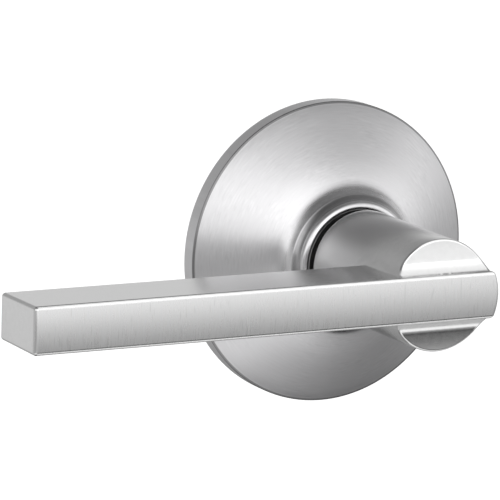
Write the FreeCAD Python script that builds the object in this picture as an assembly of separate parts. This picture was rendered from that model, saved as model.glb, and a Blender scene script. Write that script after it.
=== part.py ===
import FreeCAD, Part
import math
import os

# Lever handle set for a cylindrical bore: outside half.
# Frame: origin on the spindle axis at the door face. +Z up, +X right,
# -Y out of the door towards the hand, +Y into the door. The grip bar runs towards -X.
# Lengths in millimetres, angles in degrees from +X towards +Z.
# "u" is the distance out of the door face (y = -u). A place is an (x, z) pair.

os.makedirs("parts", exist_ok=True)

V = FreeCAD.Vector
OUT = V(0, -1, 0)
IN = V(0, 1, 0)
RIGHT = V(1, 0, 0)
UP = V(0, 0, 1)
OVER = 1.0                # how far a cutter runs past the face it opens


def polar(radius, degrees):
    angle = math.radians(degrees)
    return radius * math.cos(angle), radius * math.sin(angle)


# ------------------------------------------------- dimensions shared by pieces
# rose (round cover)
ROSE_R = 33.34            # outer radius
ROSE_RIM_U = 3.75         # top of the straight rim wall
ROSE_WALL = 1.2
DOME_EDGE = (32.87, 4.15)  # (radius, u) where the dome leaves the rim
LIP_R = 11.5              # opening of the rolled lip
LIP_U = 17.25             # top of the rolled lip

# drive sleeve (rotating tube that carries the lever)
SLEEVE_R = 9.6
SLEEVE_BORE_R = 7.2
SLEEVE_FRONT_U = 45.0
SLEEVE_BACK_U = -15.0
FLAT_X = 8.6              # two flats that turn with the lever
FLAT_START_U = 24.0
RUN_GAP = 0.06            # running clearance of the sleeve in its bushings
KEYWAY_W = 3.0
KEYWAY_DEPTH = 0.8

# mounting plate
PLATE_R = 31.9
PLATE_T = 1.6
SEAT_R = 25.3             # shallow recess in the plate's back that seats the cage
SEAT_DEPTH = 0.3

# spring cage
CAGE_R = 25.2
CAGE_WALL = 1.6
CAGE_BACK_U = -11.0
CAGE_FLOOR_U = CAGE_BACK_U + 1.4    # inner face of the cage floor
CAGE_HOLE_R = 11.3

# cage screws
SCREW_R = 1.45
SCREW_PLACES = [polar(20.9, angle) for angle in (90, 210, 330)]

# mounting posts
POST_PLACES_X = (-17.5, 17.5)
POST_R = 3.5

# rose clips
CLIP_ANGLES = (30, 150, 270)
CLIP_T = 0.5
CLIP_BACK_U = PLATE_T + 0.02
RIVET_PLACE_R = 27.6
RIVET_HOLE_R = 1.05

# bushings, retaining ring and drive plate
BUSH_R = 13.1
REAR_BUSH_FRONT_U = -8.8
RING_BACK_U = -12.95
RING_FRONT_U = -12.0
DRIVE_BACK_U = -2.6
DRIVE_FRONT_U = -1.0
STACK_GAP = 0.05          # gap along the axis between stacked pieces

# stops: the drive plate's tab meets a pin after about 50 degrees either way
STOP_R = 1.25
STOP_PLACES = [polar(14.3, 90 + angle) for angle in (-61.4, 61.4)]
ANCHOR_R = 1.4
ANCHOR_Z = -16.0
FIXED_GAP = 0.02          # clearance of pins fixed in their holes

# spindle and its cross pin
SPINDLE_HALF = 7.9 / 2
SPINDLE_FRONT_U = 10.0
SPINDLE_BACK_U = -50.0
CROSS_PIN_U = 6.0
CROSS_PIN_R = 1.2

# lever catch
CATCH_U = 33.0
CATCH_NOSE_R = 1.9
CATCH_HEAD_R = 3.0
CATCH_HEAD_TOP_Z = -5.15
CATCH_POCKET_TOP_Z = 1.5
CATCH_GAP = 0.05

# lever: hub
HUB_R = 12.1
HUB_BACK_U = 19.1
HUB_FRONT_U = 52.4        # flat front of the hub, beside the bar
COVE_R = 3.85             # coves between the hub's front and the bar
COVE_CENTRE_Z = 8.6
COVE_CENTRE_U = HUB_FRONT_U + COVE_R
COVE_END_U = 54.55        # where the coves meet the flat between them
COVE_END_Z = COVE_CENTRE_Z - math.sqrt(COVE_R ** 2 - (COVE_CENTRE_U - COVE_END_U) ** 2)

# lever: grip bar
BAR_FRONT_U = 55.4
BAR_BACK_U = 39.3
BAR_HALF_FRONT = 5.0      # half height at the front face
BAR_HALF_BACK = 4.85      # half height at the back face
BAR_LEFT_X = -95.35       # free end
BAR_RIGHT_X = 14.0        # before the end over the hub is rounded
BAR_END_R_FRONT = 12.75   # radius of the end over the hub, at the front face
BAR_END_R_BACK = 12.15    # the same, at the back face


# ------------------------------------------------------------------- helpers
def pt(radius, u):
    return V(radius, -u, 0)


def polygon_face(corners):
    return Part.Face(Part.makePolygon(corners + [corners[0]]))


def edge_face(edges):
    return Part.Face(Part.Wire(Part.__sortEdges__(edges)))


def turn(face):
    """Turn a face fully about the spindle axis."""
    return face.revolve(V(0, 0, 0), IN, 360)


def ring(corners):
    """Ring about the spindle axis from (radius, u) corners."""
    return turn(polygon_face([pt(*corner) for corner in corners]))


def curve(points):
    """Line through two (radius, u) points, spline through more."""
    points = [pt(*point) for point in points]
    if len(points) == 2:
        return Part.LineSegment(*points).toShape()
    spline = Part.BSplineCurve()
    spline.interpolate(points)
    return spline.toShape()


def cyl(radius, u0, u1, x=0.0, z=0.0):
    """Cylinder along the spindle direction, u0 < u1."""
    return Part.makeCylinder(radius, u1 - u0, V(x, -u0, z), OUT)


def cone(r_start, r_end, u_start, u_end, x=0.0, z=0.0):
    """Cone along the spindle direction, from u_start to u_end."""
    direction = OUT if u_end > u_start else IN
    return Part.makeCone(r_start, r_end, abs(u_end - u_start), V(x, -u_start, z), direction)


def box(x0, x1, u0, u1, z0, z1):
    return Part.makeBox(x1 - x0, u1 - u0, z1 - z0, V(x0, -u1, z0))


def catch_cyl(radius, z0, z1):
    """Upright cylinder on the axis of the lever catch."""
    return Part.makeCylinder(radius, z1 - z0, V(0, -CATCH_U, z0), UP)


def cross_pin_cyl(radius, length):
    """Cylinder along X on the axis of the spindle's cross pin."""
    return Part.makeCylinder(radius, length, V(-length / 2, -CROSS_PIN_U, 0), RIGHT)


def cut_flats(solid, flat_x, start_u):
    """Cut both sides of a shaft flat at +-flat_x, in front of start_u."""
    side_x = 12.0
    for x0, x1 in ((-side_x, -flat_x), (flat_x, side_x)):
        solid = solid.cut(box(x0, x1, start_u, SLEEVE_FRONT_U + OVER, -12, 12))
    return solid


def wire_rod(start, end, radius):
    return Part.makeCylinder(radius, (end - start).Length, start, end - start)


def wire_bend(start, heading, centre, axis, angle, radius):
    """Round wire bent about an axis, beginning at start."""
    disc = Part.Face(Part.Wire(Part.Circle(start, heading, radius).toShape()))
    return disc.revolve(centre, axis, angle)


def half_turns(ends, heading, radius):
    """Coil of half turns that meet at the points in ends."""
    pieces = []
    for k, (start, end) in enumerate(zip(ends, ends[1:])):
        centre = (start + end) * 0.5
        direction = heading * (1 if k % 2 == 0 else -1)
        axis = (start - centre).cross(direction)
        pieces.append(wire_bend(start, direction, centre, axis, 180, radius))
    return pieces


def join(pieces):
    return pieces[0].multiFuse(pieces[1:])


def merged(shape):
    return shape.removeSplitter().Solids[0]


def at_clips(solid):
    """Copies of a solid built on +X, turned to each clip's angle."""
    copies = []
    for angle in CLIP_ANGLES:
        turned = solid.copy()
        turned.rotate(V(0, 0, 0), IN, -angle)
        copies.append(turned)
    return Part.makeCompound(copies)


def edge_middle(edge):
    return edge.valueAt((edge.FirstParameter + edge.LastParameter) / 2)


def fillet_first_valid(solid, radii, edges):
    for radius in radii:
        # A radius too large for the edges raises an error: go on to the next smaller one.
        try:
            rounded = solid.makeFillet(radius, edges)
            if rounded.isValid():
                return rounded
        except Exception:
            continue
    return solid


def save(name, shape):
    solids = shape.Solids
    for solid in solids:
        if solid.Volume < 0:
            solid.reverse()
    result = solids[0] if len(solids) == 1 else Part.makeCompound(solids)
    result.exportStep("parts/%s.step" % name)


# ---------------------------------------------------------------------- rose
# Section as runs of (radius, u) points. Each run starts where the one before ends;
# a run of one point is a line, a longer one a spline. The first run starts at ROSE_START.
ROSE_START = (ROSE_R, 0)
ROSE_RUNS = [
    # rim wall, its rounded edge, then the dome
    [(ROSE_R, ROSE_RIM_U)],
    [(33.29, 3.95), (33.14, 4.09), DOME_EDGE],
    [(30.5, 5.66), (27.5, 7.46), (24.5, 9.16), (21.5, 10.72), (19.6, 11.57), (18.4, 12.05),
     (17.5, 12.37)],
    # first hollow of the neck, up to the ridge
    [(17.0, 12.58), (16.5, 12.84), (16.1, 13.12), (15.75, 13.45), (15.5, 13.75),
     (15.25, 14.12), (15.05, 14.48), (14.95, 14.7)],
    # second hollow, up to the lip
    [(14.8, 14.83), (14.6, 14.98), (14.3, 15.28), (14.05, 15.6), (13.88, 15.92),
     (13.76, 16.25)],
    # rolled lip
    [(13.66, 16.52), (13.5, 16.78), (13.25, 17.02), (12.95, 17.17), (12.65, 17.24),
     (12.35, LIP_U), (12.0, 17.17), (11.75, 17.02), (11.58, 16.82), (LIP_R, 16.5)],
    # inside: lip opening and the pocket of the neck bushing
    [(LIP_R, 15.85)],
    [(BUSH_R + 0.1, 15.2)],
    [(BUSH_R + 0.1, 12.3)],
    [(15.4, 11.55)],
    # inside of the dome, then of the rim
    [(18.4, 10.8), (21.5, 9.35), (24.5, 7.65), (27.5, 5.85), (30.0, 4.35), (31.3, 3.6)],
    [(ROSE_R - ROSE_WALL, 2.9)],
    [(ROSE_R - ROSE_WALL, 0)],
    [ROSE_START],
]


def rose():
    edges = []
    start = ROSE_START
    for run in ROSE_RUNS:
        edges.append(curve([start] + run))
        start = run[-1]
    return turn(edge_face(edges))


# ------------------------------------------------------ bushings, washers, ring
def neck_bushing():
    bore_r = SLEEVE_R + RUN_GAP
    nose_r = 11.4
    recess_r = 10.9
    front_u = 16.5
    back_u = 0.1
    flange_r = 14.1
    flange_back_u = PLATE_T + STACK_GAP
    flange_front_u = 3.2
    return ring([
        (bore_r, back_u), (BUSH_R, back_u), (BUSH_R, flange_back_u), (flange_r, flange_back_u),
        (flange_r, flange_front_u), (BUSH_R, flange_front_u), (BUSH_R, 15.12), (nose_r, 15.72),
        (nose_r, front_u), (recess_r, front_u), (recess_r, front_u - 0.5),
        (10.2, front_u - 0.5), (bore_r, front_u - 1.0),
    ])


def rear_bushing():
    bore_r = SLEEVE_R + RUN_GAP
    neck_r = CAGE_HOLE_R - 0.05
    flange_r = 13.0
    flange_back_u = CAGE_FLOOR_U + 0.02
    return ring([
        (bore_r, CAGE_BACK_U), (neck_r, CAGE_BACK_U), (neck_r, flange_back_u),
        (flange_r, flange_back_u), (flange_r, REAR_BUSH_FRONT_U), (bore_r, REAR_BUSH_FRONT_U),
    ])


def flat_ring(inner_r, outer_r, back_u, front_u):
    return ring([(inner_r, back_u), (outer_r, back_u), (outer_r, front_u), (inner_r, front_u)])


def take_up_washer():
    """Conical washer, further out at its rim."""
    return ring([(9.9, -0.82), (12.7, -0.3), (12.7, 0.05), (9.9, -0.47)])


def thrust_washer():
    front_u = CAGE_BACK_U - STACK_GAP
    return flat_ring(9.8, 13.4, front_u - 0.8, front_u)


def retaining_ring():
    inner_r = 8.97
    cut_u = (-14, -11)
    ear_x, ear_z = 3.1, 11.3
    hole_x, hole_z = 3.2, 11.5
    gap = box(-2.0, 2.0, -13.5, -11.5, 0, 14)
    body = flat_ring(inner_r, 11.6, RING_BACK_U, RING_FRONT_U).cut(gap)
    for side in (-1, 1):
        body = body.fuse(cyl(1.5, RING_BACK_U, RING_FRONT_U, side * ear_x, ear_z))
    # the ears reach into the bore and the gap: open both again
    body = body.cut(cyl(inner_r, *cut_u))
    body = body.cut(gap)
    for side in (-1, 1):
        body = body.cut(cyl(0.6, *cut_u, side * hole_x, hole_z))
    return body.removeSplitter()


# ------------------------------------------------------- mounting plate, posts
def mounting_plate():
    hole_r = 13.3
    chamfer = 0.3
    screw_hole_r = SCREW_R + 0.1
    sink = 1.4            # depth and widening of the countersinks
    post_hole_r = 2.55
    sight_x, sight_r = 28.0, 1.8
    plate = ring([
        (hole_r, SEAT_DEPTH), (SEAT_R, SEAT_DEPTH), (SEAT_R, 0), (PLATE_R, 0),
        (PLATE_R, PLATE_T - chamfer), (PLATE_R - chamfer, PLATE_T), (hole_r, PLATE_T),
    ])
    for x, z in SCREW_PLACES:
        plate = plate.cut(cone(screw_hole_r, screw_hole_r + sink, PLATE_T - sink, PLATE_T, x, z))
        plate = plate.cut(cyl(screw_hole_r, -OVER, PLATE_T, x, z))
    holes = [(post_hole_r, x, 0) for x in POST_PLACES_X]
    holes += [(RIVET_HOLE_R, *polar(RIVET_PLACE_R, angle)) for angle in CLIP_ANGLES]
    # two sighting holes on the level line
    holes += [(sight_r, side * sight_x, 0) for side in (-1, 1)]
    for radius, x, z in holes:
        plate = plate.cut(cyl(radius, -OVER, PLATE_T + OVER, x, z))
    return plate


def mounting_post(x):
    end_u = -18.0
    collar_u = -0.9       # where shank and post meet, inside the collar
    tip = 0.6             # chamfer at the inner end
    thread_r = 1.75       # minor radius
    thread_depth = 11.0
    thread_chamfer = 0.5
    head_u = PLATE_T + 0.05
    post = cyl(2.5, collar_u, PLATE_T + 0.5, x)                     # staked shank
    post = post.fuse(cone(3.3, 2.9, head_u, head_u + 0.5, x))       # staked head
    post = post.fuse(cyl(4.2, collar_u - 0.05, SEAT_DEPTH - 0.02, x))
    post = post.fuse(cyl(POST_R, end_u + tip, collar_u, x))
    post = post.fuse(cone(POST_R, POST_R - tip, end_u + tip, end_u, x))
    post = post.cut(cyl(thread_r, end_u - OVER, end_u + thread_depth, x))
    post = post.cut(cone(thread_r, thread_r + thread_chamfer, end_u + thread_chamfer, end_u, x))
    return merged(post)


def mounting_posts():
    return Part.makeCompound([mounting_post(x) for x in POST_PLACES_X])


# ------------------------------------------------- spring cage and its screws
def spring_cage():
    chamfer = 0.8
    rim_r = CAGE_R - 0.3
    inner_r = CAGE_R - CAGE_WALL
    cage = ring([
        (CAGE_HOLE_R, CAGE_BACK_U), (CAGE_R - chamfer, CAGE_BACK_U),
        (CAGE_R, CAGE_BACK_U + chamfer), (CAGE_R, 0), (rim_r, 0), (rim_r, SEAT_DEPTH),
        (inner_r, SEAT_DEPTH), (inner_r, CAGE_FLOOR_U), (CAGE_HOLE_R, CAGE_FLOOR_U),
    ])
    for x, z in SCREW_PLACES:
        cage = cage.fuse(cyl(3.0, CAGE_BACK_U + 0.5, SEAT_DEPTH, x, z))
    for x, z in SCREW_PLACES:
        cage = cage.cut(cyl(SCREW_R + 0.05, -8.0, OVER, x, z))
        cage = cage.cut(cyl(SCREW_R + 0.2, 0, OVER, x, z))          # relief under the screw head
    for x in POST_PLACES_X:
        cage = cage.cut(cyl(POST_R + 0.15, CAGE_BACK_U - OVER, 0, x))
    pin_holes = [(ANCHOR_R, 0, ANCHOR_Z)] + [(STOP_R, x, z) for x, z in STOP_PLACES]
    for radius, x, z in pin_holes:
        cage = cage.cut(cyl(radius + FIXED_GAP, CAGE_BACK_U - OVER, CAGE_FLOOR_U + OVER, x, z))
    return cage.removeSplitter()


def cage_screw(x, z):
    head_h = 1.35         # height and widening of the countersunk head
    head_top_u = PLATE_T - 0.02
    shank_end_u = -6.8
    slot_long, slot_thin = 1.3, 0.3     # half sizes of the cross recess
    slot_u = (PLATE_T - 0.75, PLATE_T + OVER)
    screw = cone(SCREW_R, SCREW_R + head_h, head_top_u - head_h, head_top_u, x, z)
    screw = screw.fuse(cyl(SCREW_R, shank_end_u, PLATE_T - 1.3, x, z))
    screw = screw.fuse(cone(SCREW_R, 0.6, shank_end_u, shank_end_u - 0.7, x, z))
    for half_x, half_z in ((slot_long, slot_thin), (slot_thin, slot_long)):
        screw = screw.cut(box(x - half_x, x + half_x, *slot_u, z - half_z, z + half_z))
    return merged(screw)


def cage_screws():
    return Part.makeCompound([cage_screw(x, z) for x, z in SCREW_PLACES])


# ---------------------------------------------------------------- rose clips
def rose_clips():
    width = 7.0
    inner_r, outer_r = 25.4, 32.1
    front_u = CLIP_BACK_U + CLIP_T
    # (radius, u): flat strip with a hooked outer end
    section = [
        (inner_r, CLIP_BACK_U), (31.35, CLIP_BACK_U), (31.75, 1.95), (outer_r, 2.35),
        (31.5, 2.95), (31.1, 2.95), (31.55, 2.35), (31.2, front_u), (inner_r, front_u),
    ]
    clip = polygon_face([pt(*corner) for corner in section]).extrude(UP * width)
    clip.translate(UP * (-width / 2))
    clip = clip.common(cyl(outer_r, 0, 5))
    clip = clip.cut(cyl(RIVET_HOLE_R, 0, 5, RIVET_PLACE_R))
    return at_clips(clip.Solids[0])


def clip_rivets():
    head_u = PLATE_T + 0.54
    rivet = cyl(1.0, 0, head_u + 0.01, RIVET_PLACE_R)
    rivet = rivet.fuse(cone(1.9, 1.2, head_u, head_u + 0.55, RIVET_PLACE_R))
    return at_clips(merged(rivet))


# ----------------------------------------------------------- stops and anchor
def cage_pin(radius, shoulder_u, chamfer, x, z):
    """Pin standing in the cage floor, chamfered at its front."""
    pin = cyl(radius, CAGE_BACK_U + 0.02, shoulder_u, x, z)
    pin = pin.fuse(cone(radius, radius - chamfer, shoulder_u, shoulder_u + chamfer, x, z))
    return merged(pin)


def stop_pins():
    return Part.makeCompound([cage_pin(STOP_R, -0.9, 0.3, x, z) for x, z in STOP_PLACES])


def spring_anchor():
    return cage_pin(ANCHOR_R, -2.6, 0.4, 0, ANCHOR_Z)


# ------------------------------------------------- return spring and its drive
def return_spring():
    """Two-turn coil about the spindle axis with both legs pointing down."""
    mean_r = 11.5
    wire_r = 0.8
    pitch = 1.75
    turns = 2
    bend_r = 2.45
    leg_end_z = -17.2
    first_y = 3.6
    last_y = first_y + pitch * turns
    bend_z = -mean_r - bend_r
    ends = [V(0, first_y + pitch * k / 2.0, -mean_r if k % 2 == 0 else mean_r)
            for k in range(2 * turns + 1)]
    first_bend = V(-bend_r, first_y, bend_z)
    last_bend = V(bend_r, last_y, bend_z)
    pieces = [wire_rod(V(-bend_r, first_y, leg_end_z), first_bend, wire_r),
              wire_bend(first_bend, UP, V(0, first_y, bend_z), IN, 90, wire_r)]
    pieces += half_turns(ends, RIGHT, wire_r)
    pieces += [wire_bend(ends[-1], RIGHT, V(0, last_y, bend_z), IN, 90, wire_r),
               wire_rod(last_bend, V(bend_r, last_y, leg_end_z), wire_r)]
    return join(pieces)


def spring_spool():
    return flat_ring(SLEEVE_R + 0.05, 10.45, REAR_BUSH_FRONT_U + STACK_GAP,
                     DRIVE_BACK_U - STACK_GAP)


def drive_plate():
    key_half = KEYWAY_W / 2 - 0.05
    key_z = SLEEVE_R - KEYWAY_DEPTH + 0.08
    lug_end_z = -14.3
    # half width, back u, z from, z to
    blocks = [
        (1.5, DRIVE_BACK_U, 11.5, 15.6),            # stop tab
        (1.5, DRIVE_BACK_U, lug_end_z, -11.5),      # lug root
        (1.4, -8.2, lug_end_z, -13.3),              # lug between the spring's legs
        (key_half, DRIVE_BACK_U, key_z, 11.0),      # key in the sleeve's keyway
    ]
    plate = flat_ring(SLEEVE_R + 0.03, 12.8, DRIVE_BACK_U, DRIVE_FRONT_U)
    for half, back_u, z0, z1 in blocks:
        plate = plate.fuse(box(-half, half, back_u, DRIVE_FRONT_U, z0, z1))
    return plate.removeSplitter()


# -------------------------------------------------------------- drive sleeve
def drive_sleeve():
    bore_end_u = 12.0     # round bore in front of this, square hole behind
    half = SPINDLE_HALF + 0.05
    sleeve = cyl(SLEEVE_R, SLEEVE_BACK_U, SLEEVE_FRONT_U)
    sleeve = sleeve.cut(cyl(SLEEVE_BORE_R, bore_end_u, SLEEVE_FRONT_U + OVER))
    sleeve = sleeve.cut(box(-half, half, SLEEVE_BACK_U - OVER, bore_end_u + 0.5, -half, half))
    sleeve = cut_flats(sleeve, FLAT_X, FLAT_START_U)
    sleeve = sleeve.cut(box(-KEYWAY_W / 2, KEYWAY_W / 2, SLEEVE_BACK_U - OVER,
                            DRIVE_FRONT_U + 0.05, SLEEVE_R - KEYWAY_DEPTH, 12))
    # groove of the retaining ring
    sleeve = sleeve.cut(flat_ring(8.9, 11, RING_BACK_U - STACK_GAP, RING_FRONT_U + STACK_GAP))
    sleeve = sleeve.cut(cross_pin_cyl(CROSS_PIN_R + FIXED_GAP, 30))
    sleeve = sleeve.cut(catch_cyl(CATCH_NOSE_R + CATCH_GAP, -12, 0))
    # chamfer at the front end
    chamfer = 0.7
    sleeve = sleeve.cut(ring([
        (SLEEVE_R - chamfer, SLEEVE_FRONT_U), (11, SLEEVE_FRONT_U + 0.3),
        (11, SLEEVE_FRONT_U - 1.0), (SLEEVE_R + 0.0001, SLEEVE_FRONT_U - chamfer),
    ]))
    return sleeve.removeSplitter()


# ------------------------------------------------------------------- spindle
def spindle():
    half = SPINDLE_HALF
    corner_r = half * 1.345       # rounds the four long corners
    tip_r = half * 0.86
    tip_u = SPINDLE_BACK_U + 2.6  # where the taper of the inner end begins
    bar = box(-half, half, SPINDLE_BACK_U, SPINDLE_FRONT_U, -half, half)
    bar = bar.common(cyl(corner_r, SPINDLE_BACK_U - OVER, SPINDLE_FRONT_U + OVER))
    tip = box(-half, half, SPINDLE_BACK_U, tip_u, -half, half)
    tip = tip.common(cone(corner_r, tip_r, tip_u, SPINDLE_BACK_U))
    bar = bar.cut(cyl(10, SPINDLE_BACK_U - OVER, tip_u)).fuse(tip)
    bar = bar.cut(cross_pin_cyl(CROSS_PIN_R + FIXED_GAP, 30))
    return bar.removeSplitter()


def spindle_pin():
    """Hollow pin across the spindle, slotted along its top."""
    slot_half = 0.25
    pin = cross_pin_cyl(CROSS_PIN_R, 18.0)
    pin = pin.cut(cross_pin_cyl(0.55, 20.0))
    return pin.cut(box(-10, 10, CROSS_PIN_U - slot_half, CROSS_PIN_U + slot_half, 0, 2))


# --------------------------------------------------------------------- lever
def hub_profile():
    """Side outline of the hub with its two coves, in the plane x = -14."""
    back_u, half_z = 18, 14

    def at(u, z):
        return V(-14, -u, z)

    def cove(side):
        """Start, middle and end of a cove, from the hub's front inwards."""
        end_angle = math.acos((COVE_CENTRE_Z - COVE_END_Z) / COVE_R)
        middle = (math.pi / 2 + end_angle) / 2
        return [at(HUB_FRONT_U, side * COVE_CENTRE_Z),
                at(COVE_CENTRE_U - COVE_R * math.sin(middle),
                   side * (COVE_CENTRE_Z - COVE_R * math.cos(middle))),
                at(COVE_END_U, side * COVE_END_Z)]

    lower = cove(-1)
    upper = cove(1)[::-1]
    runs = [
        [at(back_u, -half_z), at(HUB_FRONT_U, -half_z)],
        [at(HUB_FRONT_U, -half_z), lower[0]],
        lower,
        [lower[-1], upper[0]],
        upper,
        [upper[-1], at(HUB_FRONT_U, half_z)],
        [at(HUB_FRONT_U, half_z), at(back_u, half_z)],
        [at(back_u, half_z), at(back_u, -half_z)],
    ]
    return edge_face([(Part.Arc if len(run) == 3 else Part.LineSegment)(*run).toShape()
                      for run in runs])


def on_front_rim(edge):
    middle = edge_middle(edge)
    return (math.hypot(middle.x, middle.z) > HUB_R - 0.01
            and -middle.y > HUB_FRONT_U - 0.5
            and abs(middle.z) > COVE_END_Z - 0.2)


def lever_hub():
    hub = cyl(HUB_R, HUB_BACK_U, 60).common(hub_profile().extrude(RIGHT * 28))
    hub = fillet_first_valid(hub, (0.5, 0.4, 0.3), [e for e in hub.Edges if on_front_rim(e)])
    back_rim = [e for e in hub.Edges if abs(edge_middle(e).y + HUB_BACK_U) < 0.01]
    return hub.makeFillet(0.4, back_rim)


def grip_bar():
    """Bar with a slight draft in its height and a conical end over the hub."""
    section = [(BAR_BACK_U, -BAR_HALF_BACK), (BAR_FRONT_U, -BAR_HALF_FRONT),
               (BAR_FRONT_U, BAR_HALF_FRONT), (BAR_BACK_U, BAR_HALF_BACK)]
    bar = polygon_face([V(BAR_LEFT_X, -u, z) for u, z in section])
    bar = bar.extrude(RIGHT * (BAR_RIGHT_X - BAR_LEFT_X))
    # the cone runs past both faces of the bar at the same slope
    past = 2
    widening = past * (BAR_END_R_FRONT - BAR_END_R_BACK) / (BAR_FRONT_U - BAR_BACK_U)
    end = cone(BAR_END_R_BACK - widening, BAR_END_R_FRONT + widening,
               BAR_BACK_U - past, BAR_FRONT_U + past)
    keep = end.fuse(box(-100, 0, BAR_BACK_U - 3, BAR_FRONT_U + 3, -13, 13))
    bar = bar.common(keep).removeSplitter()
    return fillet_first_valid(bar, (0.75, 0.7, 0.6, 0.5), bar.Edges)


def lever():
    fit = 0.08            # clearance on the drive sleeve
    body = lever_hub().fuse(grip_bar())
    bore = cyl(SLEEVE_R + fit, HUB_BACK_U - OVER, SLEEVE_FRONT_U + 0.6)
    body = body.cut(cut_flats(bore, FLAT_X + fit, FLAT_START_U + 0.4))
    body = body.cut(catch_cyl(CATCH_NOSE_R + CATCH_GAP, -13, -8))
    # wider mouth of the bore at the hub's back
    body = body.cut(cyl(10.4, HUB_BACK_U - OVER, HUB_BACK_U + 1.2))
    return body.removeSplitter()


# --------------------------------------------------------------- lever catch
def catch_guide():
    guide = cyl(SLEEVE_BORE_R - 0.05, CATCH_U - 5, CATCH_U + 5)
    return guide.cut(catch_cyl(CATCH_HEAD_R + CATCH_GAP, -9, CATCH_POCKET_TOP_Z))


def lever_catch():
    tip_z = -11.2
    chamfer = 0.5
    catch = catch_cyl(CATCH_HEAD_R, CATCH_HEAD_TOP_Z - 1.2, CATCH_HEAD_TOP_Z)
    catch = catch.fuse(catch_cyl(CATCH_NOSE_R, tip_z + chamfer, -6.0))
    catch = catch.fuse(Part.makeCone(CATCH_NOSE_R - chamfer, CATCH_NOSE_R, chamfer,
                                     V(0, -CATCH_U, tip_z), UP))
    return catch.removeSplitter()


def catch_spring():
    mean_r = 2.3
    wire_r = 0.35
    turns = 5
    end_gap = wire_r + 0.02
    low_z = CATCH_HEAD_TOP_Z + end_gap
    high_z = CATCH_POCKET_TOP_Z - end_gap
    ends = [V(mean_r if k % 2 == 0 else -mean_r, -CATCH_U,
              low_z + (high_z - low_z) * k / (2.0 * turns))
            for k in range(2 * turns + 1)]
    return join(half_turns(ends, IN, wire_r))


# Each function is named after the piece it builds.
for build in (rose, neck_bushing, mounting_plate, mounting_posts, spring_cage, cage_screws,
              rose_clips, clip_rivets, stop_pins, spring_anchor, rear_bushing, take_up_washer,
              thrust_washer, retaining_ring, return_spring, spring_spool, drive_plate,
              drive_sleeve, spindle, spindle_pin, lever, catch_guide, lever_catch,
              catch_spring):
    save(build.__name__, build())
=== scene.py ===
# Lever door handle on a round rose, with its return spring and catch spring.
# The spindle axis is Y and -Y points out of the door. The grip reaches from the hub to -X,
# and +Z is up. Pieces are drawn in millimetres, with "u" the distance out of the door (-Y),
# and are turned into metres as they are built.
import bpy, bmesh, math
import numpy as np
from mathutils import Matrix, Vector


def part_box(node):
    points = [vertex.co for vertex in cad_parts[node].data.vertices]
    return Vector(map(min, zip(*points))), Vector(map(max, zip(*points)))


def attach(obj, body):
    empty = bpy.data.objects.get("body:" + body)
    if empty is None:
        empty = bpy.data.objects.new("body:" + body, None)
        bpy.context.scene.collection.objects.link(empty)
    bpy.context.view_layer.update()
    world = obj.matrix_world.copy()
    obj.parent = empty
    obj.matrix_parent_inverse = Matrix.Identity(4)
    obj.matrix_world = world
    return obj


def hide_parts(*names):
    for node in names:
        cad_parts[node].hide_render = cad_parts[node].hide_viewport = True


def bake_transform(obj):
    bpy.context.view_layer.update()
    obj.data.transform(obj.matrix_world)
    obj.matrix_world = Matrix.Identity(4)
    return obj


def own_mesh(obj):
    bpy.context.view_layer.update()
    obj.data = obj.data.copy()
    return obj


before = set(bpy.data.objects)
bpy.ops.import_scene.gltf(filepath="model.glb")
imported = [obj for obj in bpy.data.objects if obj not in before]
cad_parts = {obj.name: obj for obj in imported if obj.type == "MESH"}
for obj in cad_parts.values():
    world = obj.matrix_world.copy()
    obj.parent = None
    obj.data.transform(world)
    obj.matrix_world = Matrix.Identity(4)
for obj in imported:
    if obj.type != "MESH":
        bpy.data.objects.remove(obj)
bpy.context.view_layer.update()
MM = 0.001


# ------------------------------------------------------------------ meshes
def smooth(obj, angle=30.0):
    """Shade smooth, with edges steeper than angle (degrees) kept sharp."""
    mesh = obj.data
    mesh.polygons.foreach_set("use_smooth", [True] * len(mesh.polygons))
    mesh.set_sharp_from_angle(angle=math.radians(angle))
    mesh.update()


def build_object(name, verts, faces, material=None, angle=30.0):
    """Clean, smooth-shaded mesh object from points in metres."""
    mesh = bpy.data.meshes.new(name)
    mesh.from_pydata([tuple(float(c) for c in vert) for vert in verts], [], faces)
    mesh.validate()
    bm = bmesh.new()
    bm.from_mesh(mesh)
    bmesh.ops.remove_doubles(bm, verts=bm.verts, dist=1e-7)
    bmesh.ops.dissolve_degenerate(bm, edges=bm.edges, dist=1e-8)
    bmesh.ops.recalc_face_normals(bm, faces=bm.faces)
    bm.to_mesh(mesh)
    bm.free()
    obj = bpy.data.objects.new(name, mesh)
    bpy.context.scene.collection.objects.link(obj)
    smooth(obj, angle)
    if material:
        mesh.materials.append(material)
    return obj


def apply_modifiers(obj):
    depsgraph = bpy.context.evaluated_depsgraph_get()
    mesh = bpy.data.meshes.new_from_object(
        obj.evaluated_get(depsgraph), preserve_all_data_layers=True, depsgraph=depsgraph)
    old_mesh = obj.data
    obj.modifiers.clear()
    obj.data = mesh
    mesh.name = obj.name
    bpy.data.meshes.remove(old_mesh)


def boolean(obj, other, operation):
    """Join or cut obj with other, and remove other."""
    modifier = obj.modifiers.new("bool", "BOOLEAN")
    modifier.operation = operation
    modifier.solver = "EXACT"
    modifier.object = other
    bpy.context.view_layer.update()
    apply_modifiers(obj)
    bpy.data.objects.remove(other)


def merge_close_points(obj, distance=5e-7):
    """Merge points that coincide, so that no face is left without an area."""
    bm = bmesh.new()
    bm.from_mesh(obj.data)
    bmesh.ops.remove_doubles(bm, verts=bm.verts, dist=distance)
    bmesh.ops.dissolve_degenerate(bm, dist=distance, edges=bm.edges)
    bm.to_mesh(obj.data)
    bm.free()


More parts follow.
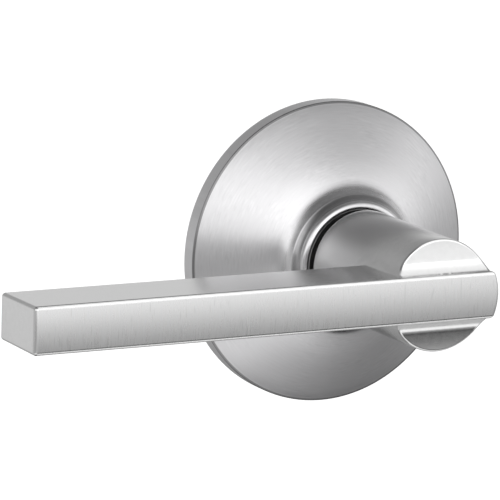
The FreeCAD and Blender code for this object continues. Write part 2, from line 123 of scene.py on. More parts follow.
def grid_faces(rows, columns, wrap_rows=False, wrap_columns=True):
    """Quads between rows of points; wrapping joins the last row or column to the first."""
    faces = []
    for row in range(rows if wrap_rows else rows - 1):
        here, there = row * columns, (row + 1) % rows * columns
        for i in range(columns if wrap_columns else columns - 1):
            j = (i + 1) % columns
            faces.append((here + i, here + j, there + j, there + i))
    return faces


def rod_faces(rows, columns):
    """Faces round a rod of closed rows, with a cap on each end."""
    last = (rows - 1) * columns
    caps = [tuple(range(columns - 1, -1, -1)), tuple(range(last, last + columns))]
    return grid_faces(rows, columns) + caps


def turned_body(name, sections, material, angle=30.0, closed=True):
    """Body turned about the spindle axis, from one (radius, u) section per step.

    Open sections leave a ring at their last points, which one flat face fills.
    """
    steps, count = len(sections), len(sections[0])
    verts = []
    for step, section in enumerate(sections):
        turn = 2 * math.pi * step / steps
        cosine, sine = math.cos(turn), math.sin(turn)
        verts += [(r * cosine * MM, -u * MM, r * sine * MM) for r, u in section]
    faces = grid_faces(steps, count, wrap_rows=True, wrap_columns=closed)
    if not closed:
        faces.append(tuple(step * count + count - 1 for step in range(steps)))
    return build_object(name, verts, faces, material, angle)


# ------------------------------------------------------------------ curves
def arc(centre_x, centre_y, radius, start, end, steps):
    """Points on an arc, angles in degrees."""
    angles = [math.radians(start + (end - start) * k / steps) for k in range(steps + 1)]
    return [(centre_x + radius * math.cos(a), centre_y + radius * math.sin(a)) for a in angles]


def catmull(points, steps):
    """Centripetal Catmull-Rom curve through 2-D points, with steps to each span."""
    def between(a, b, start, end, t):
        return (end - t) / (end - start) * a + (t - start) / (end - start) * b

    p = [np.array(point, float) for point in points]
    p = [2 * p[0] - p[1]] + p + [2 * p[-1] - p[-2]]
    curve = []
    for i in range(1, len(p) - 2):
        t0 = 0.0
        t1 = t0 + np.linalg.norm(p[i] - p[i - 1]) ** 0.5
        t2 = t1 + np.linalg.norm(p[i + 1] - p[i]) ** 0.5
        t3 = t2 + np.linalg.norm(p[i + 2] - p[i + 1]) ** 0.5
        for k in range(steps):
            t = t1 + (t2 - t1) * k / steps
            a1 = between(p[i - 1], p[i], t0, t1, t)
            a2 = between(p[i], p[i + 1], t1, t2, t)
            a3 = between(p[i + 1], p[i + 2], t2, t3, t)
            b1 = between(a1, a2, t0, t2, t)
            b2 = between(a2, a3, t1, t3, t)
            curve.append(tuple(between(b1, b2, t1, t2, t)))
    curve.append(tuple(p[-2]))
    return curve


def round_corners(corners, steps):
    """Closed profile from (x, y, corner radius) entries."""
    profile = []
    places = [np.array(corner[:2], float) for corner in corners]
    for i, (place, corner) in enumerate(zip(places, corners)):
        radius = corner[2]
        before = places[i - 1] - place
        after = places[(i + 1) % len(places)] - place
        before = before / np.linalg.norm(before)
        after = after / np.linalg.norm(after)
        half_angle = math.acos(float(before @ after)) / 2
        middle = (before + after) / np.linalg.norm(before + after)
        centre = place + middle * (radius / math.sin(half_angle))
        reach = radius / math.tan(half_angle)
        start = place + before * reach - centre
        end = place + after * reach - centre
        start_angle = math.atan2(start[1], start[0])
        sweep = math.atan2(end[1], end[0]) - start_angle
        sweep = (sweep + math.pi) % (2 * math.pi) - math.pi
        for k in range(steps + 1):
            t = start_angle + sweep * k / steps
            profile.append((centre[0] + radius * math.cos(t), centre[1] + radius * math.sin(t)))
    return profile


# ------------------------------------------------------------ shader graphs
class Graph:
    """Adds linked nodes to an emptied node tree; inputs may be sockets or plain values."""

    def __init__(self, tree):
        self.tree = tree
        tree.nodes.clear()

    def node(self, kind, **settings):
        node = self.tree.nodes.new(kind)
        for key, value in settings.items():
            setattr(node, key, value)
        return node

    def feed(self, node, key, value):
        if isinstance(value, bpy.types.NodeSocket):
            self.tree.links.new(value, node.inputs[key])
        else:
            node.inputs[key].default_value = value

    def math(self, operation, *values):
        node = self.node("ShaderNodeMath", operation=operation)
        for i, value in enumerate(values):
            self.feed(node, i, value)
        return node.outputs[0]

    def add(self, a, b):
        return self.math("ADD", a, b)

    def subtract(self, a, b):
        return self.math("SUBTRACT", a, b)

    def multiply(self, a, b):
        return self.math("MULTIPLY", a, b)

    def separate(self, vector):
        node = self.node("ShaderNodeSeparateXYZ")
        self.feed(node, 0, vector)
        return node.outputs

    def combine(self, *values, kind="ShaderNodeCombineXYZ"):
        node = self.node(kind)
        for i, value in enumerate(values):
            self.feed(node, i, value)
        return node.outputs[0]

    def coordinates(self, output="Object"):
        return self.node("ShaderNodeTexCoord").outputs[output]

    def noise(self, vector, scale=1.0, detail=2.0, roughness=0.5):
        node = self.node("ShaderNodeTexNoise")
        self.feed(node, "Scale", scale)
        self.feed(node, "Detail", detail)
        self.feed(node, "Roughness", roughness)
        self.feed(node, "Vector", vector)
        return node.outputs["Fac"]

    def ramp(self, value, stops):
        """Grey ramp through (position, brightness) stops."""
        node = self.node("ShaderNodeValToRGB")
        elements = node.color_ramp.elements
        while len(elements) > 1:
            elements.remove(elements[-1])
        elements[0].position = stops[0][0]
        elements[0].color = (stops[0][1],) * 3 + (1,)
        for position, brightness in stops[1:]:
            elements.new(position).color = (brightness,) * 3 + (1,)
        self.feed(node, 0, value)
        return node.outputs[0]

    def remap(self, value, span=(0.0, 1.0), to=(0.0, 1.0)):
        node = self.node("ShaderNodeMapRange")
        self.feed(node, "Value", value)
        for key, number in zip(("From Min", "From Max", "To Min", "To Max"), span + to):
            self.feed(node, key, number)
        return node.outputs[0]

    def mix(self, factor, a, b):
        """Colour a where factor is 0, b where it is 1."""
        node = self.node("ShaderNodeMix", data_type="RGBA")
        for i, value in ((0, factor), (6, a), (7, b)):
            self.feed(node, i, value)
        return node.outputs[2]

    def bump(self, shader, strength, height, distance):
        node = self.node("ShaderNodeBump")
        self.feed(node, "Strength", strength)
        self.feed(node, "Distance", distance)
        self.feed(node, "Height", height)
        self.feed(shader, "Normal", node.outputs[0])


def new_material(name):
    material = bpy.data.materials.new(name)
    material.use_nodes = True
    graph = Graph(material.node_tree)
    output = graph.node("ShaderNodeOutputMaterial")
    shader = graph.node("ShaderNodeBsdfPrincipled")
    graph.feed(output, 0, shader.outputs[0])
    return material, graph, shader


# ---------------------------------------------------------------- materials
NOISE_SPAN = (0.3, 0.7)     # the part of a noise's range that is used


def satin_rose():
    """Satin chrome, brushed round the axis, so highlights stretch across the brushing, with
    painted shade in a band round the neck and a line where the dome meets the rim.
    """
    material, g, shader = new_material("satin_chrome_rose")
    place = g.coordinates()
    x, y, z = g.separate(place)
    radius = g.math("SQRT", g.add(g.multiply(x, x), g.multiply(z, z)))
    inverse = g.math("DIVIDE", 1.0, g.math("MAXIMUM", radius, 0.001))
    round_x, round_z = g.multiply(x, inverse), g.multiply(z, inverse)

    def ring_noise(around, outward, detail):
        """Noise with one frequency round the axis and another along the radius."""
        return g.noise(g.combine(g.multiply(round_x, around), g.multiply(radius, outward),
                                 g.multiply(round_z, around)), detail=detail)

    fine = ring_noise(around=7.0, outward=3600.0, detail=1.0)
    broad = ring_noise(around=3.0, outward=900.0, detail=2.0)
    strokes = ring_noise(around=13.0, outward=2600.0, detail=0.0)
    patches = g.noise(place, scale=90.0, detail=1.0)

    # light and dark strokes, stronger in patches
    light = g.ramp(strokes, [(0.0, 0.0), (0.60, 0.0), (0.70, 1.0)])
    dark = g.ramp(strokes, [(0.0, 1.0), (0.29, 1.0), (0.38, 0.0)])
    marks = g.multiply(g.subtract(light, dark), g.ramp(patches, [(0.42, 0.15), (0.58, 1.0)]))
    brushing = g.add(g.multiply(fine, 0.65), g.multiply(broad, 0.35))
    tone = g.add(g.remap(brushing, span=NOISE_SPAN, to=(0.745, 0.785)),
                 g.multiply(marks, 0.034))

    # painted shade: a fine dark line in the crease where the dome meets the straight rim
    line = g.multiply(g.remap(radius, span=(0.03280, 0.03292)),
                      g.remap(y, span=(-0.00372, -0.00384)))
    tone = g.multiply(tone, g.remap(line, to=(1.0, 0.38)))

    # painted shade: a darker band round the neck's hollow, standing in for the shade there
    neck_painted_shade = [(0.0, 1.0), (0.12, 1.0), (0.31, 1.0), (0.35, 0.56), (0.45, 0.54),
                  (0.50, 0.92), (0.54, 0.96), (0.66, 1.0), (0.78, 1.0), (1.0, 1.0)]
    tone = g.multiply(tone, g.ramp(g.remap(radius, span=(0.011, 0.019)), neck_painted_shade))

    tint = (1.0, 0.994, 1.008)
    colour = g.combine(*[g.multiply(tone, part) for part in tint],
                       kind="ShaderNodeCombineColor")
    g.feed(shader, "Base Color", colour)
    dome_part = g.remap(radius, span=(0.0145, 0.0175))      # 0 on the neck, 1 on the dome
    g.feed(shader, "Roughness", g.add(g.remap(brushing, span=NOISE_SPAN, to=(-0.02, 0.02)),
                                      g.remap(dome_part, to=(0.22, 0.33))))
    g.feed(shader, "Metallic", 1.0)
    g.feed(shader, "Anisotropic", g.remap(dome_part, to=(0.3, 0.66)))
    g.feed(shader, "Anisotropic Rotation", 0.25)
    tangent = g.node("ShaderNodeTangent", direction_type="RADIAL", axis="Y")
    g.feed(shader, "Tangent", tangent.outputs[0])
    g.bump(shader, strength=0.05, height=brushing, distance=0.00002)
    return material


def satin_lever():
    """Satin chrome, brushed across the grip's front face and even elsewhere."""
    material, g, shader = new_material("satin_chrome_lever")
    place = g.coordinates()
    x, y, z = g.separate(place)
    normal_z = g.separate(g.coordinates("Normal"))[2]

    # front is 1 on the grip's front face and 0 elsewhere
    level = g.remap(g.math("ABSOLUTE", normal_z), span=(0.085, 0.15), to=(1.0, 0.0))
    front = g.multiply(g.remap(y, span=(-0.0549, -0.0546), to=(1.0, 0.0)), level)

    fine = g.noise(g.combine(g.multiply(x, 4200.0), 0.0, g.multiply(z, 130.0)),
                   detail=3.0, roughness=0.6)
    broad = g.noise(g.combine(g.multiply(x, 1700.0), 7.0, g.multiply(z, 240.0)), detail=1.0)
    marks = g.ramp(broad, [(0.0, 0.0), (0.62, 0.0), (0.72, 1.0)])
    even = g.noise(place, scale=900.0, detail=3.0, roughness=0.6)
    brushing = g.add(g.multiply(fine, 0.65), g.multiply(broad, 0.35))

    even_tone = g.ramp(even, [(0.3, 0.75), (0.7, 0.79)])
    brushed_tone = g.subtract(g.ramp(brushing, [(0.30, 0.735), (0.50, 0.765), (0.70, 0.795)]),
                              g.multiply(marks, 0.09))
    g.feed(shader, "Base Color", g.mix(front, even_tone, brushed_tone))

    brushed_rough = g.remap(brushing, span=NOISE_SPAN, to=(0.24, 0.34))
    even_rough = g.remap(even, span=NOISE_SPAN, to=(0.17, 0.20))
    g.feed(shader, "Roughness", g.add(g.multiply(brushed_rough, front),
                                      g.multiply(even_rough, g.subtract(1.0, front))))
    g.feed(shader, "Metallic", 1.0)
    g.feed(shader, "Anisotropic", g.multiply(front, 0.75))
    along_grip = g.node("ShaderNodeVectorTransform", vector_type="VECTOR",
                        convert_from="OBJECT", convert_to="WORLD")
    g.feed(along_grip, 0, (1, 0, 0))
    g.feed(shader, "Tangent", along_grip.outputs[0])
    g.bump(shader, strength=g.multiply(front, 0.09),
           height=g.add(fine, g.multiply(marks, 0.6)), distance=0.00002)
    return material


def plain(name, tone, roughness, scale, bump, metallic=1.0, tint=(1.0, 1.0, 1.0),
          stretch=(1, 1, 1)):
    """Mottled material; tone and roughness are (low, high) over a noise of the given scale."""
    material, g, shader = new_material(name)
    place = g.coordinates()
    axes = g.separate(place)
    stretched = g.combine(*[g.multiply(axis, factor) for axis, factor in zip(axes, stretch)])
    grain = g.noise(stretched, scale=scale, detail=4.0, roughness=0.6)
    clouds = g.noise(place, scale=scale * 0.12, detail=3.0, roughness=0.55)
    mottle = g.add(g.multiply(grain, 0.6), g.multiply(clouds, 0.4))
    low, high = [tuple(level * part for part in tint) + (1,) for level in tone]
    g.feed(shader, "Base Color", g.mix(g.remap(mottle, span=NOISE_SPAN), low, high))
    g.feed(shader, "Roughness", g.remap(mottle, span=NOISE_SPAN, to=roughness))
    g.feed(shader, "Metallic", metallic)
    g.bump(shader, strength=bump, height=grain, distance=0.00003)
    return material


ROSE_CHROME = satin_rose()
LEVER_CHROME = satin_lever()
PLATED = plain("zinc_plated_steel", tone=(0.52, 0.66), roughness=(0.30, 0.42),
               scale=500.0, bump=0.10, tint=(0.97, 1.0, 1.03))
CAST = plain("cage_casting", tone=(0.36, 0.46), roughness=(0.42, 0.58), scale=1300.0, bump=0.35)
TURNED = plain("turned_steel", tone=(0.46, 0.60), roughness=(0.22, 0.34),
               scale=500.0, bump=0.12, stretch=(1, 9, 1))
YELLOW_ZINC = plain("yellow_zinc", tone=(0.55, 0.72), roughness=(0.28, 0.40),
                    scale=900.0, bump=0.12, tint=(1.0, 0.86, 0.52))
SPRING_STEEL = plain("spring_steel", tone=(0.10, 0.20), roughness=(0.34, 0.50),
                     scale=900.0, bump=0.15)
ACETAL = plain("black_acetal", tone=(0.010, 0.020), roughness=(0.42, 0.55),
               scale=1500.0, bump=0.12, metallic=0.0)
NYLON = plain("natural_nylon", tone=(0.62, 0.74), roughness=(0.40, 0.52),
              scale=1200.0, bump=0.10, metallic=0.0, tint=(1.0, 0.97, 0.88))

# --------------------------------------------------------------------- rose
ROSE_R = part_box("rose")[1].x / MM
BACK_ROUND = 0.25       # radius of the rim's back edge
FRONT_ROUND = 0.30      # radius of the rim's front edge
# Outlines of (radius, u), from the rim in to the neck's lip
DOME = [(32.85, 4.12), (32.0, 4.70), (30.5, 5.66), (27.5, 7.46), (24.5, 9.16), (21.5, 10.72),
        (19.6, 11.57), (18.4, 12.05), (17.5, 12.37)]
NECK_FOOT = [(17.5, 12.37), (17.0, 12.58), (16.5, 12.84), (16.1, 13.12), (15.75, 13.45),
             (15.5, 13.75), (15.25, 14.12), (15.06, 14.46), (14.97, 14.63)]
NECK_STEP = [(14.97, 14.63), (14.91, 14.72), (14.80, 14.82), (14.6, 14.98), (14.3, 15.28),
             (14.05, 15.6), (13.9, 15.88), (13.83, 16.06)]
NECK_LIP = [(13.83, 16.06), (13.79, 16.17), (13.71, 16.26), (13.65, 16.36), (13.60, 16.52),
            (13.46, 16.78), (13.25, 17.0), (12.95, 17.16), (12.65, 17.235), (12.35, 17.24),
            (12.0, 17.16), (11.75, 17.01), (11.58, 16.8), (11.5, 16.5)]
# The inside, from the lip back out to the rim
NECK_INSIDE = [(11.5, 16.1), (11.5, 15.85), (13.2, 15.2), (13.2, 12.3)]
DOME_INSIDE = [(15.4, 11.5), (18.4, 10.75), (21.5, 9.3), (24.5, 7.6), (27.5, 5.8),
               (30.0, 4.3), (31.3, 3.55)]
RIM_INSIDE = [(32.14, 2.9), (32.14, 0.3), (32.34, 0.0)]


def rose_profile():
    profile = arc(ROSE_R - BACK_ROUND, BACK_ROUND, BACK_ROUND, -90, 0, 4)
    profile += [(ROSE_R, u) for u in (1.0, 2.4, 3.5)]
    profile += arc(ROSE_R - FRONT_ROUND, 3.72, FRONT_ROUND, 0, 60, 8)
    profile += catmull(DOME, 8)
    for outline, steps in ((NECK_FOOT, 5), (NECK_STEP, 4), (NECK_LIP, 5)):
        profile += catmull(outline, steps)[1:]      # the first point is already there
    return profile + NECK_INSIDE + catmull(DOME_INSIDE, 4) + RIM_INSIDE


rose = turned_body("rose_cover", [rose_profile()] * 256, ROSE_CHROME, angle=38)
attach(rose, "door_side")
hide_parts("rose")

# ------------------------------------------------------------- neck bushing
# (radius, u, corner radius)
BUSHING = [(9.66, 0.1, 0.1), (13.1, 0.1, 0.2), (13.1, 1.65, 0.1), (14.1, 1.65, 0.2),
           (14.1, 3.2, 0.2), (13.1, 3.2, 0.1), (13.1, 15.12, 0.1), (11.4, 15.72, 0.1),
           (11.4, 16.5, 0.15), (10.95, 16.5, 0.1), (10.8, 16.0, 0.1), (10.3, 16.0, 0.15),
           (9.66, 15.5, 0.1)]
bushing = turned_body("neck_bearing", [round_corners(BUSHING, steps=3)] * 160, ACETAL)
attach(bushing, "door_side")
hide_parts("neck_bushing")

# ---------------------------------------------------------------- lever hub
HUB_R = 12.1
HUB_BACK = 19.1                     # u of the hub's back face
HUB_STEPS = 288
BACK_EDGE = 0.4                     # radius of the hub's back edge
RIM = 0.5                           # radius of the hub's front edge
BORE_R, BORE_END = 9.68, 45.6       # radius, and u of the bore's blind end
MOUTH_R = 10.4                      # wider mouth of the bore
# Two coves run along X, one above and one below the middle of the hub's front face
COVE_R, COVE_Z, COVE_U = 4.3, 8.6, 56.75
END_U = 54.6                        # flat middle of the hub's front face
CROWN_R = 60.0                      # crown of the grip's front face
JOIN_Z = COVE_Z - COVE_R * math.sin(math.atan(COVE_Z / CROWN_R)) * 0.93
JOIN_SLOPE, RIM_SLOPE = 0.135, 0.045    # fall of the face outside a cove, inner to outer


def cove_u(z):
    return COVE_U - math.sqrt(COVE_R ** 2 - (COVE_Z - z) ** 2)


def hub_front(z):
    """u of the hub's front face at height z."""
    z = abs(z)
    if z >= JOIN_Z:
        past = z - JOIN_Z
        bend = (JOIN_SLOPE - RIM_SLOPE) * past * past / (2 * (HUB_R - JOIN_Z))
        return cove_u(JOIN_Z) - (JOIN_SLOPE * past - bend)
    if COVE_Z - z < COVE_R:
        return min(cove_u(z), END_U)
    return END_U


def hub_section(sine):
    """(radius, u) from the bore's end, round the back and side, to near the front's middle."""
    section = [(0.0, BORE_END), (4.5, BORE_END), (9.0, BORE_END)]
    section += [(BORE_R, u) for u in (45.0, 36.0, 28.0, 20.5)]
    section += [(MOUTH_R, 20.2), (MOUTH_R, 19.35), (10.65, HUB_BACK), (11.2, HUB_BACK)]
    section += arc(HUB_R - BACK_EDGE, HUB_BACK + BACK_EDGE, BACK_EDGE, -90, 0, 6)
    section += [(HUB_R, u) for u in (19.9, 22.0, 25.0, 28.0, 31.0, 34.0, 37.0, 40.0, 43.0,
                                     46.0, 48.5)]
    for k in range(9):
        angle = 90 - 90 * k / 8.0
        r = HUB_R - RIM + RIM * math.sin(math.radians(angle))
        # the outer half of the rim follows the face at one radius
        face_r = HUB_R - RIM * 0.5 if angle > 45 else r
        section.append((r, hub_front(face_r * sine) - RIM * (1 - math.cos(math.radians(angle)))))
    for r in [HUB_R - RIM - 0.12] + list(np.linspace(HUB_R - RIM - 0.4, 0.35, 44)):
        section.append((r, hub_front(r * sine)))
    return section


def make_hub():
    sections = [hub_section(math.sin(2 * math.pi * k / HUB_STEPS)) for k in range(HUB_STEPS)]
    return turned_body("lever_handle", sections, LEVER_CHROME, closed=False)


# --------------------------------------------------------------- lever grip
GRIP_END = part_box("lever")[0].x / MM        # x of the grip's free end
GRIP_FRONT, GRIP_BACK = 55.4, 39.3          # u of its faces
FRONT_HALF, BACK_HALF = 5.0, 4.85           # half heights at the front and back
GRIP_EDGE = 0.75                            # radius of its edges
LEAST_CORNER = 0.02                         # corner radius kept where the edges run out
HUB_END_FRONT_R, HUB_END_BACK_R = 12.75, 11.95      # round end inside the hub
CROWN_RISE, CROWN_FADE = 0.06, 0.9          # crown's height, and the depth it fades over
LOWER_DROP, DROP_DEPTH = 0.13, 3.0          # the lower side is lowered, in full below this z


def along_grip_depth(u):
    """0 at the grip's back, 1 at its front."""
    return (u - GRIP_BACK) / (GRIP_FRONT - GRIP_BACK)


def side_stations(start, end):
    """Even stations with an extra one close to each end, which keeps the shading crisp."""
    step = math.copysign(0.06, end - start)
    return [start, start + step, *np.linspace(start, end, 11)[1:-1], end - step, end]


def grip_section(inset, corner):
    """Loop of (u, z) round the grip, inset from its faces, with the given corner radius."""
    def half(u):
        return BACK_HALF + (FRONT_HALF - BACK_HALF) * along_grip_depth(u) - inset

    front, back = GRIP_FRONT - inset, GRIP_BACK + inset
    front_in, back_in = front - corner, back + corner
    front_z, back_z = half(front) - corner, half(back) - corner
    loop = [(front, z) for z in side_stations(-front_z, front_z)]
    loop += arc(front_in, front_z, corner, 0, 90, 6)[1:-1]
    loop += [(u, half(u)) for u in side_stations(front_in, back_in)]
    loop += arc(back_in, back_z, corner, 90, 180, 6)[1:-1]
    loop += [(back, z) for z in side_stations(back_z, -back_z)]
    loop += arc(back_in, -back_z, corner, 180, 270, 6)[1:-1]
    loop += [(u, -half(u)) for u in side_stations(back_in, front_in)]
    loop += arc(front_in, -front_z, corner, 270, 360, 6)[1:-1]
    return loop


def hub_end_x(u, z):
    """x of the grip's round end, inside the hub."""
    r = HUB_END_BACK_R + (HUB_END_FRONT_R - HUB_END_BACK_R) * along_grip_depth(u)
    return math.sqrt(max(0.1, r * r - z * z))


def crown(u, z):
    """The front face is very slightly crowned."""
    weight = max(0.0, min(1.0, (u - (GRIP_FRONT - CROWN_FADE)) / CROWN_FADE))
    return u + weight * (CROWN_RISE - z * z / (2 * CROWN_R))


def make_grip():
    # sections of a rounded end, from its flat face to the full size
    edge = []
    for angle in (0, 15, 30, 45, 60, 75, 90):
        inset = GRIP_EDGE * (1 - math.sin(math.radians(angle)))
        section = grip_section(inset, max(GRIP_EDGE - inset, LEAST_CORNER))
        edge.append((math.cos(math.radians(angle)), section))
    full = grip_section(0.0, GRIP_EDGE)

    loops = []
    for cosine, section in edge:
        x = GRIP_END + GRIP_EDGE * (1 - cosine)
        loops.append([(x, crown(u, z), z) for u, z in section])
    start = GRIP_END + GRIP_EDGE
    for part in [0.001, *np.linspace(0, 1, 25)[1:-1], 0.999]:
        loops.append([(start + (hub_end_x(u, z) - GRIP_EDGE - start) * part, crown(u, z), z)
                      for u, z in full])
    for cosine, section in edge[::-1]:
        loops.append([(hub_end_x(u, z) - GRIP_EDGE + GRIP_EDGE * cosine, crown(u, z), z)
                      for u, z in section])
    # cap inside the hub, shrinking towards the middle line
    base = grip_section(GRIP_EDGE, LEAST_CORNER)
    mid_u = (GRIP_FRONT + GRIP_BACK) / 2
    for size in (0.97, 0.85, 0.7, 0.55, 0.4, 0.25, 0.1):
        section = [(mid_u + (u - mid_u) * size, z * size) for u, z in base]
        loops.append([(hub_end_x(u, z), u, z) for u, z in section])

    verts = [(x * MM, -u * MM, (z + LOWER_DROP * max(-1.0, min(0.0, z / DROP_DEPTH))) * MM)
             for loop in loops for x, u, z in loop]
    return build_object("grip", verts, rod_faces(len(loops), len(full)), LEVER_CHROME)


# -------------------------------------------------------------- whole lever
CATCH_Y = -33.0         # y of the upright axis of the catch spring and the hole in the hub
HOLE_R, HOLE_STEPS = 1.95, 48
HOLE_BOTTOM, HOLE_TOP = -14, -8


def make_hole():
    """Upright cylinder that cuts the hole through the hub's underside."""
    angles = [2 * math.pi * k / HOLE_STEPS for k in range(HOLE_STEPS)]
    verts = [(HOLE_R * math.cos(a) * MM, (CATCH_Y + HOLE_R * math.sin(a)) * MM, z * MM)
             for z in (HOLE_BOTTOM, HOLE_TOP) for a in angles]
    caps = [tuple(range(HOLE_STEPS)), tuple(range(2 * HOLE_STEPS - 1, HOLE_STEPS - 1, -1))]
    return build_object("hole", verts, caps + grid_faces(2, HOLE_STEPS))


lever = make_hub()
boolean(lever, make_grip(), "UNION")
boolean(lever, make_hole(), "DIFFERENCE")
merge_close_points(lever)
smooth(lever, 28)
# leave exactly one material slot after the booleans
lever.data.materials.clear()
lever.data.materials.append(LEVER_CHROME)
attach(lever, "turning_set")
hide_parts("lever")


# ------------------------------------------------------------------ springs
def swing(start, centre, axis, angle, steps):
    """Points of an arc from start, turned about an axis through centre; start is left out."""
    start, centre = Vector(start), Vector(centre)
    return [centre + Matrix.Rotation(math.radians(angle * k / steps), 3, Vector(axis))
            @ (start - centre) for k in range(1, steps + 1)]


def coil(ends, heading, steps):
    """Points of a coil of half turns through ends, setting off towards heading."""
    points = [Vector(ends[0])]
    for k in range(len(ends) - 1):
        start, end = Vector(ends[k]), Vector(ends[k + 1])
        centre = (start + end) / 2
        direction = Vector(heading) * (1 if k % 2 == 0 else -1)
        axis = (start - centre).cross(direction).normalized()
        points += swing(start, centre, axis, 180, steps)
    return points


def wire(name, path, radius, sides):
    """Round spring wire along a path in mm, with flat ends."""
    last = len(path) - 1
    verts = []
    side = None
    for i, point in enumerate(path):
        ahead = (path[min(i + 1, last)] - point).normalized()
        behind = (point - path[max(i - 1, 0)]).normalized()
        tangent = (ahead + behind).normalized()
        if side is None:
            side = tangent.orthogonal().normalized()
        side = (side - tangent * side.dot(tangent)).normalized()
        other = tangent.cross(side)
        for k in range(sides):
            a = 2 * math.pi * k / sides
            verts.append((point + (side * math.cos(a) + other * math.sin(a)) * radius) * MM)
    return build_object(name, verts, rod_faces(len(path), sides), SPRING_STEEL, angle=40)


# Return spring: two turns about the spindle axis, with a straight leg down from each end
SPRING_R, SPRING_WIRE_R, SPRING_PITCH = 11.5, 0.8, 1.75
SPRING_BEND = 2.45              # radius of the bend from coil to leg
LEG_END = -17.2                 # z of the legs' ends
SPRING_START = 3.6              # y of the first turn
SPRING_END = SPRING_START + 2 * SPRING_PITCH
BEND_Z = -SPRING_R - SPRING_BEND

path = [Vector((-SPRING_BEND, SPRING_START, LEG_END + (-LEG_END + BEND_Z) * k / 6))
        for k in range(7)]
path += swing((-SPRING_BEND, SPRING_START, BEND_Z), (0, SPRING_START, BEND_Z), (0, 1, 0), 90, 10)
path += coil([(0, SPRING_START + SPRING_PITCH * k / 2, -SPRING_R if k % 2 == 0 else SPRING_R)
              for k in range(5)], heading=(1, 0, 0), steps=48)[1:]
path += swing((0, SPRING_END, -SPRING_R), (0, SPRING_END, BEND_Z), (0, 1, 0), 90, 10)
path += [Vector((SPRING_BEND, SPRING_END, BEND_Z - (-LEG_END + BEND_Z) * k / 6))
         for k in range(1, 7)]
spring = wire("torsion_spring", path, SPRING_WIRE_R, sides=16)
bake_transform(spring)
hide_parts("return_spring")

# Catch spring: five upright turns inside the hub
CATCH_R, CATCH_WIRE_R = 2.3, 0.35
CATCH_BOTTOM, CATCH_TOP = -5.15, 1.5
CATCH_INSET = 0.37              # from the spring's ends to its wire's centre line
catch_low, catch_high = CATCH_BOTTOM + CATCH_INSET, CATCH_TOP - CATCH_INSET
path = coil([(CATCH_R if k % 2 == 0 else -CATCH_R, CATCH_Y,
              catch_low + (catch_high - catch_low) * k / 10) for k in range(11)],
            heading=(0, 1, 0), steps=24)
catch_spring = wire("small_spring", path, CATCH_WIRE_R, sides=12)
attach(catch_spring, "turning_set")
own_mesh(catch_spring)
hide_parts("catch_spring")

# ---------------------------------------------------- carried-over CAD nodes
CAD_MATERIALS = {
    "mounting_plate": PLATED, "mounting_posts": PLATED, "spring_cage": CAST,
    "cage_screws": YELLOW_ZINC, "rose_clips": SPRING_STEEL, "clip_rivets": TURNED,
    "stop_pins": TURNED, "spring_anchor": TURNED, "rear_bushing": NYLON,
    "take_up_washer": SPRING_STEEL, "thrust_washer": NYLON, "retaining_ring": SPRING_STEEL,
    "spring_spool": NYLON, "drive_plate": PLATED, "drive_sleeve": TURNED, "spindle": PLATED,
    "spindle_pin": SPRING_STEEL, "catch_guide": NYLON, "lever_catch": TURNED,
}


def dress(obj, material):
    """One material, smooth shading and weighted normals."""
    mesh = obj.data
    mesh.materials.clear()
    mesh.materials.append(material)
    mesh.polygons.foreach_set("material_index", [0] * len(mesh.polygons))
    smooth(obj)
    modifier = obj.modifiers.new("weighted", "WEIGHTED_NORMAL")
    modifier.mode = "FACE_AREA"
    modifier.weight = 60
    modifier.keep_sharp = True


for node_name, node_material in CAD_MATERIALS.items():
    dress(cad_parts[node_name], node_material)

# -------------------------------------------------------------------- floor
FLOOR_HALF, FLOOR_Z = 6.0, -0.22        # metres


def pale_floor():
    material, g, shader = new_material("pale_floor")
    clouds = g.noise(g.coordinates(), scale=3.0)
    g.feed(shader, "Base Color", g.ramp(clouds, [(0.3, 0.90), (0.7, 0.93)]))
    g.feed(shader, "Roughness", 0.9)
    g.feed(shader, "Emission Color", (1, 1, 1, 1))
    g.feed(shader, "Emission Strength", 0.75)
    return material


floor_mesh = bpy.data.meshes.new("floor")
floor_mesh.from_pydata([(x * FLOOR_HALF, y * FLOOR_HALF, FLOOR_Z)
                        for x, y in ((-1, -1), (1, -1), (1, 1), (-1, 1))], [], [(0, 1, 2, 3)])
floor = bpy.data.objects.new("floor", floor_mesh)
bpy.context.scene.collection.objects.link(floor)
floor_mesh.materials.append(pale_floor())
floor.visible_glossy = False
floor.visible_shadow = False

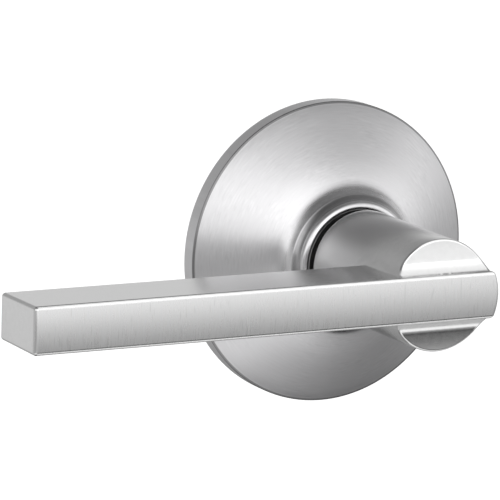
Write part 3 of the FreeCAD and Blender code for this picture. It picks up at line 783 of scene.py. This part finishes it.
# -------------------------------------------------------------------- world
# Brightness of the surroundings in six directions, as (z of the direction, brightness)
SURROUNDINGS = {
    "far_right": [
        (-1.0, 0.35), (-0.7, 0.59), (-0.5, 0.38), (-0.3, 0.28), (-0.15, 0.64), (0.0, 0.99),
        (0.15, 1.25), (0.3, 1.13), (0.45, 0.7), (0.6, 0.31), (0.8, 0.1), (1.0, 0.0)],
    "right": [
        (-1.0, 0.29), (-0.85, 0.53), (-0.72, 0.51), (-0.62, 0.21), (-0.52, 0.01),
        (-0.42, 0.11), (-0.35, 0.23), (-0.2, 0.8), (-0.06, 1.11), (0.1, 1.1), (0.25, 1.11),
        (0.4, 0.98), (0.52, 0.73), (0.63, 0.51), (0.75, 0.37), (0.86, 0.22), (1.0, 0.12)],
    "middle": [
        (-1.0, 0.03), (-0.88, 0.55), (-0.71, 1.14), (-0.53, 0.83), (-0.3, 0.44), (-0.1, 1.19),
        (0.15, 1.82), (0.35, 1.69), (0.5, 1.31), (0.65, 0.76), (0.8, 0.36), (0.9, 0.19),
        (1.0, 0.07)],
    "left": [
        (-1.0, 0.68), (-0.85, 0.9), (-0.66, 0.9), (-0.5, 0.64), (-0.35, 0.3), (-0.17, 0.39),
        (-0.05, 0.74), (0.1, 1.11), (0.3, 1.32), (0.5, 1.15), (0.7, 0.52), (0.85, 0.11),
        (1.0, 0.0)],
    "back_right": [
        (-1.0, 0.0), (-0.8, 0.06), (-0.62, 0.17), (-0.5, 0.28), (-0.3, 0.39), (-0.1, 0.43),
        (0.1, 0.74), (0.3, 0.66), (0.5, 0.34), (0.7, 0.27), (0.85, 0.25), (1.0, 0.22)],
    "back_left": [
        (-1.0, 0.4), (-0.8, 0.52), (-0.62, 0.53), (-0.5, 0.52), (-0.3, 0.53), (-0.1, 0.56),
        (0.1, 0.52), (0.3, 0.35), (0.5, 0.4), (0.7, 0.3), (0.85, 0.23), (1.0, 0.18)],
}


def make_world():
    """Measured surroundings for the lighting, plain white for the camera."""
    world = bpy.data.worlds.new("studio")
    bpy.context.scene.world = world
    world.use_nodes = True
    g = Graph(world.node_tree)
    x, y, z = g.separate(g.coordinates("Generated"))
    height = g.remap(z, span=(-1.0, 1.0))
    bands = {name: g.ramp(height, [((level + 1) / 2, value) for level, value in stops])
             for name, stops in SURROUNDINGS.items()}
    front = g.mix(g.remap(x, span=(-0.32, -0.06)), bands["left"], bands["middle"])
    front = g.mix(g.remap(x, span=(0.12, 0.45)), front, bands["right"])
    front = g.mix(g.remap(x, span=(0.50, 0.90)), front, bands["far_right"])
    back = g.mix(g.remap(x, span=(-0.45, 0.30)), bands["back_left"], bands["back_right"])
    around = g.mix(g.remap(y, span=(-0.50, -0.05)), front, back)

    chosen = g.node("ShaderNodeMixShader")
    light_path = g.node("ShaderNodeLightPath")
    g.feed(chosen, 0, light_path.outputs["Is Camera Ray"])
    for i, colour, strength in ((1, around, 1.0), (2, (1, 1, 1, 1), 1.05)):
        background = g.node("ShaderNodeBackground")
        g.feed(background, 0, colour)
        g.feed(background, 1, strength)
        g.feed(chosen, i, background.outputs[0])
    g.feed(g.node("ShaderNodeOutputWorld"), 0, chosen.outputs[0])


make_world()

# ------------------------------------------------------------------- lights
PANEL_TARGET = Vector((0.006, -0.054, 0))       # near the hub's front, in metres
# name, x, (y, z) of one end, (y, z) of the other, width along X, radiance
PANELS = (
    ("panel_top", 146, (-300, 100), (-48, 265), 300, 0.84),
    ("panel_low", 132, (-194, -213), (-100, -213), 260, 0.80),
    ("panel_under", 123, (-90, -213), (60, -213), 260, 0.52),
    ("panel_end", -188, (124, -80), (124, 0), 90, 0.16),
)


def pose(right, up, back, place):
    """World matrix from an object's own axes and its place."""
    return Matrix([*zip(right, up, back, place), (0, 0, 0, 1)])


def make_panel(name, x, start, end, width, radiance, receivers):
    """Soft rectangular panel, facing the target's side, that lights only the receivers."""
    start, end = Vector((x, *start)) * MM, Vector((x, *end)) * MM
    light = bpy.data.lights.new(name, "AREA")
    light.shape = "RECTANGLE"
    light.size = width * MM
    light.size_y = (end - start).length
    light.energy = radiance * math.pi * light.size * light.size_y
    panel = bpy.data.objects.new(name, light)
    bpy.context.scene.collection.objects.link(panel)
    middle = (start + end) / 2
    up = (end - start).normalized()
    side = Vector((1, 0, 0))
    back = side.cross(up)
    if back.dot(middle - PANEL_TARGET) < 0:
        side, back = -side, -back
    panel.matrix_world = pose(side, up, back, middle)
    panel.visible_camera = False
    panel.light_linking.receiver_collection = receivers


lever_only = bpy.data.collections.new("lever_only")
lever_only.objects.link(lever)
for panel_values in PANELS:
    make_panel(*panel_values, lever_only)

# ------------------------------------------------------------------- camera
bpy.context.scene.view_settings.view_transform = "Standard"
bpy.context.scene.view_settings.look = "None"

camera_data = bpy.data.cameras.new("camera")
camera = bpy.data.objects.new("camera", camera_data)
bpy.context.scene.collection.objects.link(camera)
camera_data.sensor_width = 36.0
camera_data.lens = 328.24
camera_data.clip_start = 0.05
camera_data.clip_end = 50.0
camera.matrix_world = pose(right=(0.88177789, -0.4704564, 0.03374204),
                           up=(0.06442618, 0.19100386, 0.97947271),
                           back=(-0.46724407, -0.86150351, 0.19873269),
                           place=(-0.48056366, -0.85436023, 0.1978059))
bpy.context.scene.camera = camera
